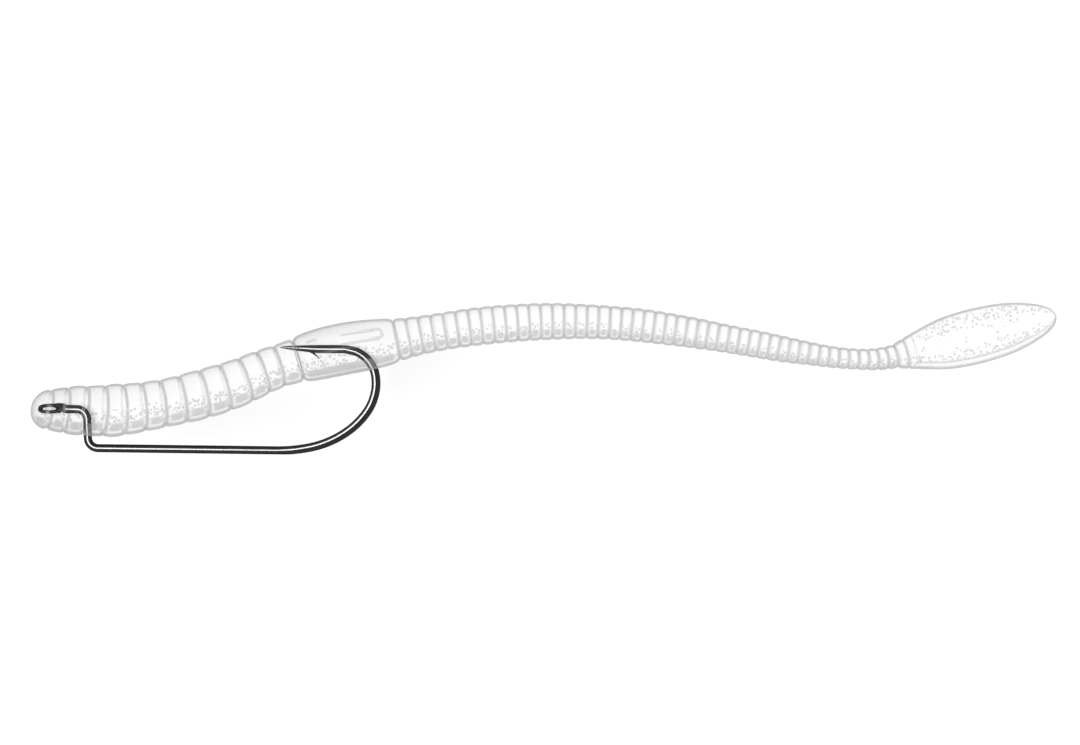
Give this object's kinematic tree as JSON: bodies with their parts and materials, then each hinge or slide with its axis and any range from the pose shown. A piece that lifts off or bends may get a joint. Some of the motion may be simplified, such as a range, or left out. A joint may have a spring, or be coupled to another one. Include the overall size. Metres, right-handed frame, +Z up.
{
  "type": "rigged soft plastic worm",
  "caption": "Ringed soft plastic fishing worm with a smooth saddle and a flat paddle tail, rigged weedless on an offset-shank worm hook.",
  "frame": {"origin": "middle of the footprint at table height, with the rigged worm lying on its side", "axes": "+X from the nose towards the paddle tail, +Y from the worm's belly and the hook's shank towards the worm's back, +Z up, square to the plane that the hook's wire lies in"},
  "size_m": [0.175, 0.0259, 0.0092],
  "materials": {
    "soft_plastic": "pale translucent plastic, glossy and slightly oily, with fine dark flecks",
    "black_nickel_wire": "polished black nickel plating"
  },
  "bodies": {
    "root": {"head_ring_01": "soft_plastic", "head_ring_02": "soft_plastic", "head_ring_03": "soft_plastic", "hook": "black_nickel_wire", "nose": "soft_plastic"},
    "head_front": {"head_ring_04": "soft_plastic", "head_ring_05": "soft_plastic", "head_ring_06": "soft_plastic", "head_ring_07": "soft_plastic", "head_ring_08": "soft_plastic"},
    "head_rear": {"head_ring_09": "soft_plastic", "head_ring_10": "soft_plastic", "head_ring_11": "soft_plastic", "head_ring_12": "soft_plastic", "head_ring_13": "soft_plastic", "saddle": "soft_plastic"},
    "tail_01": {"tail_rings_01_02": "soft_plastic", "tail_rings_03_04": "soft_plastic"},
    "tail_02": {"tail_rings_05_06": "soft_plastic", "tail_rings_07_08": "soft_plastic"},
    "tail_03": {"tail_rings_09_10": "soft_plastic", "tail_rings_11_12": "soft_plastic"},
    "tail_04": {"tail_rings_13_14": "soft_plastic", "tail_rings_15_16": "soft_plastic"},
    "tail_05": {"tail_rings_17_18": "soft_plastic", "tail_rings_19_20": "soft_plastic"},
    "tail_06": {"tail_rings_21_22": "soft_plastic", "tail_rings_23_24": "soft_plastic"},
    "tail_07": {"tail_rings_25_26": "soft_plastic", "tail_rings_27_28": "soft_plastic"},
    "tail_08": {"tail_rings_29_30": "soft_plastic", "tail_rings_31_32": "soft_plastic"},
    "tail_09": {"tail_rings_33_34": "soft_plastic", "tail_rings_35_36": "soft_plastic"},
    "tail_10": {"tail_rings_37_38": "soft_plastic", "tail_rings_39_40": "soft_plastic"},
    "tail_11": {"tail_rings_41_42": "soft_plastic", "tail_rings_43_44": "soft_plastic"},
    "paddle": {"paddle_tail": "soft_plastic", "tail_rings_45_46": "soft_plastic"}
  },
  "joints": [
    {"name": "hook_set", "type": "hinge", "parent": "root", "child": "head_front", "pos_m": [-0.07858, -0.00549, 0.00462], "axis": [0, 0, 1], "range_deg": [-11, 0], "stiffness_Nm_per_rad": 0.002},
    {"name": "head_flex", "type": "hinge", "parent": "head_front", "child": "head_rear", "pos_m": [-0.06143, -0.0035, 0.00462], "axis": [0, 0, 1], "range_deg": [-1, 6], "stiffness_Nm_per_rad": 0.001},
    {"name": "tail_side_01", "type": "hinge", "parent": "head_rear", "child": "tail_01", "pos_m": [-0.02699, 0.00622, 0.0046], "axis": [0, 0, 1], "range_deg": [-25, 25], "stiffness_Nm_per_rad": 0.00072},
    {"name": "tail_lift_02", "type": "hinge", "parent": "tail_01", "child": "tail_02", "pos_m": [-0.01865, 0.00781, 0.00399], "axis": [0.1669, -0.986, 0], "range_deg": [-25, 25], "stiffness_Nm_per_rad": 0.00044},
    {"name": "tail_side_03", "type": "hinge", "parent": "tail_02", "child": "tail_03", "pos_m": [-0.01053, 0.00898, 0.00346], "axis": [0, 0, 1], "range_deg": [-25, 25], "stiffness_Nm_per_rad": 0.00046},
    {"name": "tail_lift_04", "type": "hinge", "parent": "tail_03", "child": "tail_04", "pos_m": [-0.00246, 0.00961, 0.00332], "axis": [0.0413, -0.9991, 0], "range_deg": [-25, 25], "stiffness_Nm_per_rad": 0.00043},
    {"name": "tail_side_05", "type": "hinge", "parent": "tail_04", "child": "tail_05", "pos_m": [0.00553, 0.00974, 0.00314], "axis": [0, 0, 1], "range_deg": [-25, 25], "stiffness_Nm_per_rad": 0.00034},
    {"name": "tail_lift_06", "type": "hinge", "parent": "tail_05", "child": "tail_06", "pos_m": [0.01325, 0.00936, 0.00302], "axis": [-0.0888, -0.9961, 0], "range_deg": [-25, 25], "stiffness_Nm_per_rad": 0.00031},
    {"name": "tail_side_07", "type": "hinge", "parent": "tail_06", "child": "tail_07", "pos_m": [0.02078, 0.00847, 0.00291], "axis": [0, 0, 1], "range_deg": [-25, 25], "stiffness_Nm_per_rad": 0.00026},
    {"name": "tail_lift_08", "type": "hinge", "parent": "tail_07", "child": "tail_08", "pos_m": [0.02816, 0.00731, 0.00266], "axis": [-0.1737, -0.9848, 0], "range_deg": [-25, 25], "stiffness_Nm_per_rad": 0.00018},
    {"name": "tail_side_09", "type": "hinge", "parent": "tail_08", "child": "tail_09", "pos_m": [0.03526, 0.00604, 0.00251], "axis": [0, 0, 1], "range_deg": [-25, 25], "stiffness_Nm_per_rad": 0.00016},
    {"name": "tail_lift_10", "type": "hinge", "parent": "tail_09", "child": "tail_10", "pos_m": [0.04225, 0.00474, 0.0023], "axis": [-0.1651, -0.9863, 0], "range_deg": [-25, 25], "stiffness_Nm_per_rad": 0.0001},
    {"name": "tail_side_11", "type": "hinge", "parent": "tail_10", "child": "tail_11", "pos_m": [0.0491, 0.00367, 0.00199], "axis": [0, 0, 1], "range_deg": [-25, 25], "stiffness_Nm_per_rad": 0.000063},
    {"name": "paddle_flap", "type": "hinge", "parent": "tail_11", "child": "paddle", "pos_m": [0.05564, 0.00328, 0.00199], "axis": [0.0384, -0.9993, 0], "range_deg": [-30, 30], "stiffness_Nm_per_rad": 0.000067}
  ],
  "couplings": [
    {"joint": "head_flex", "follows": "hook_set", "ratio": -0.5}
  ]
}
